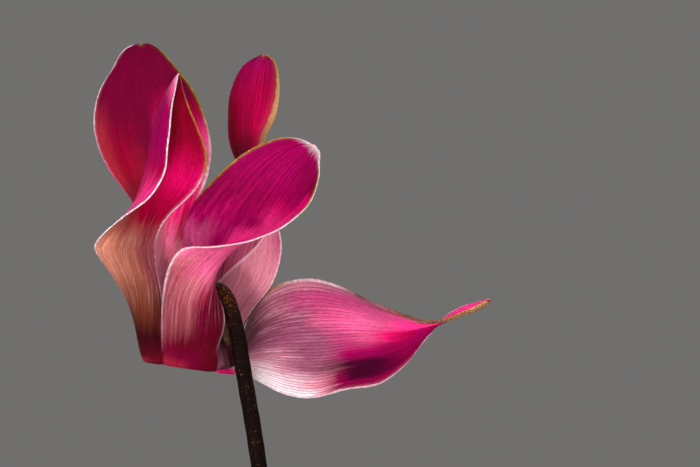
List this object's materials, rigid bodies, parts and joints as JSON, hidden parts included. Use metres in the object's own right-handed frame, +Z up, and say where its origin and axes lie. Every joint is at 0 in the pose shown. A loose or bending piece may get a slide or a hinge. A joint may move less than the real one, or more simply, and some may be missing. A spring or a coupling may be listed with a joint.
{
  "type": "potted cyclamen",
  "caption": "Flowering cyclamen in a plain terracotta pot: nodding crimson blooms with reflexed, twisted petals over heart-shaped marbled leaves that rise from a half-buried tuber.",
  "frame": {"origin": "middle of the flat underside of the pot", "axes": "+Z up; -Y is the front, from which the main bloom shows its side, and +X is to the right"},
  "size_m": [0.2299, 0.2197, 0.3301],
  "materials": {
    "terracotta": "matte unglazed clay",
    "soil": "damp crumbly potting soil",
    "tuber": "rough corky skin",
    "leaf": "satin waxy leaf with pale marbling",
    "petal": "silky satin petal with dark veins and pale margins",
    "stem": "satin, finely hairy"
  },
  "bodies": {
    "root": {"pot": "terracotta", "soil": "soil", "tuber": "tuber", "leaf_low_1": "leaf", "leaf_low_2": "leaf", "leaf_low_3": "leaf", "leaf_low_4": "leaf", "leaf_low_5": "leaf", "leaf_mid_1": "leaf", "leaf_mid_2": "leaf", "leaf_mid_3": "leaf", "leaf_mid_4": "leaf", "leaf_mid_5": "leaf", "leaf_top_1": "leaf", "leaf_top_2": "leaf", "leaf_top_3": "leaf", "bloom_main_stem": "stem", "bloom_main_corolla": "petal", "bloom_right_stem": "stem", "bloom_right_corolla": "petal", "bloom_back_stem": "stem", "bloom_back_corolla": "petal", "bud_front_stem": "stem", "bud_front": "petal", "bud_back_stem": "stem", "bud_back": "petal"}
  },
  "joints": []
}
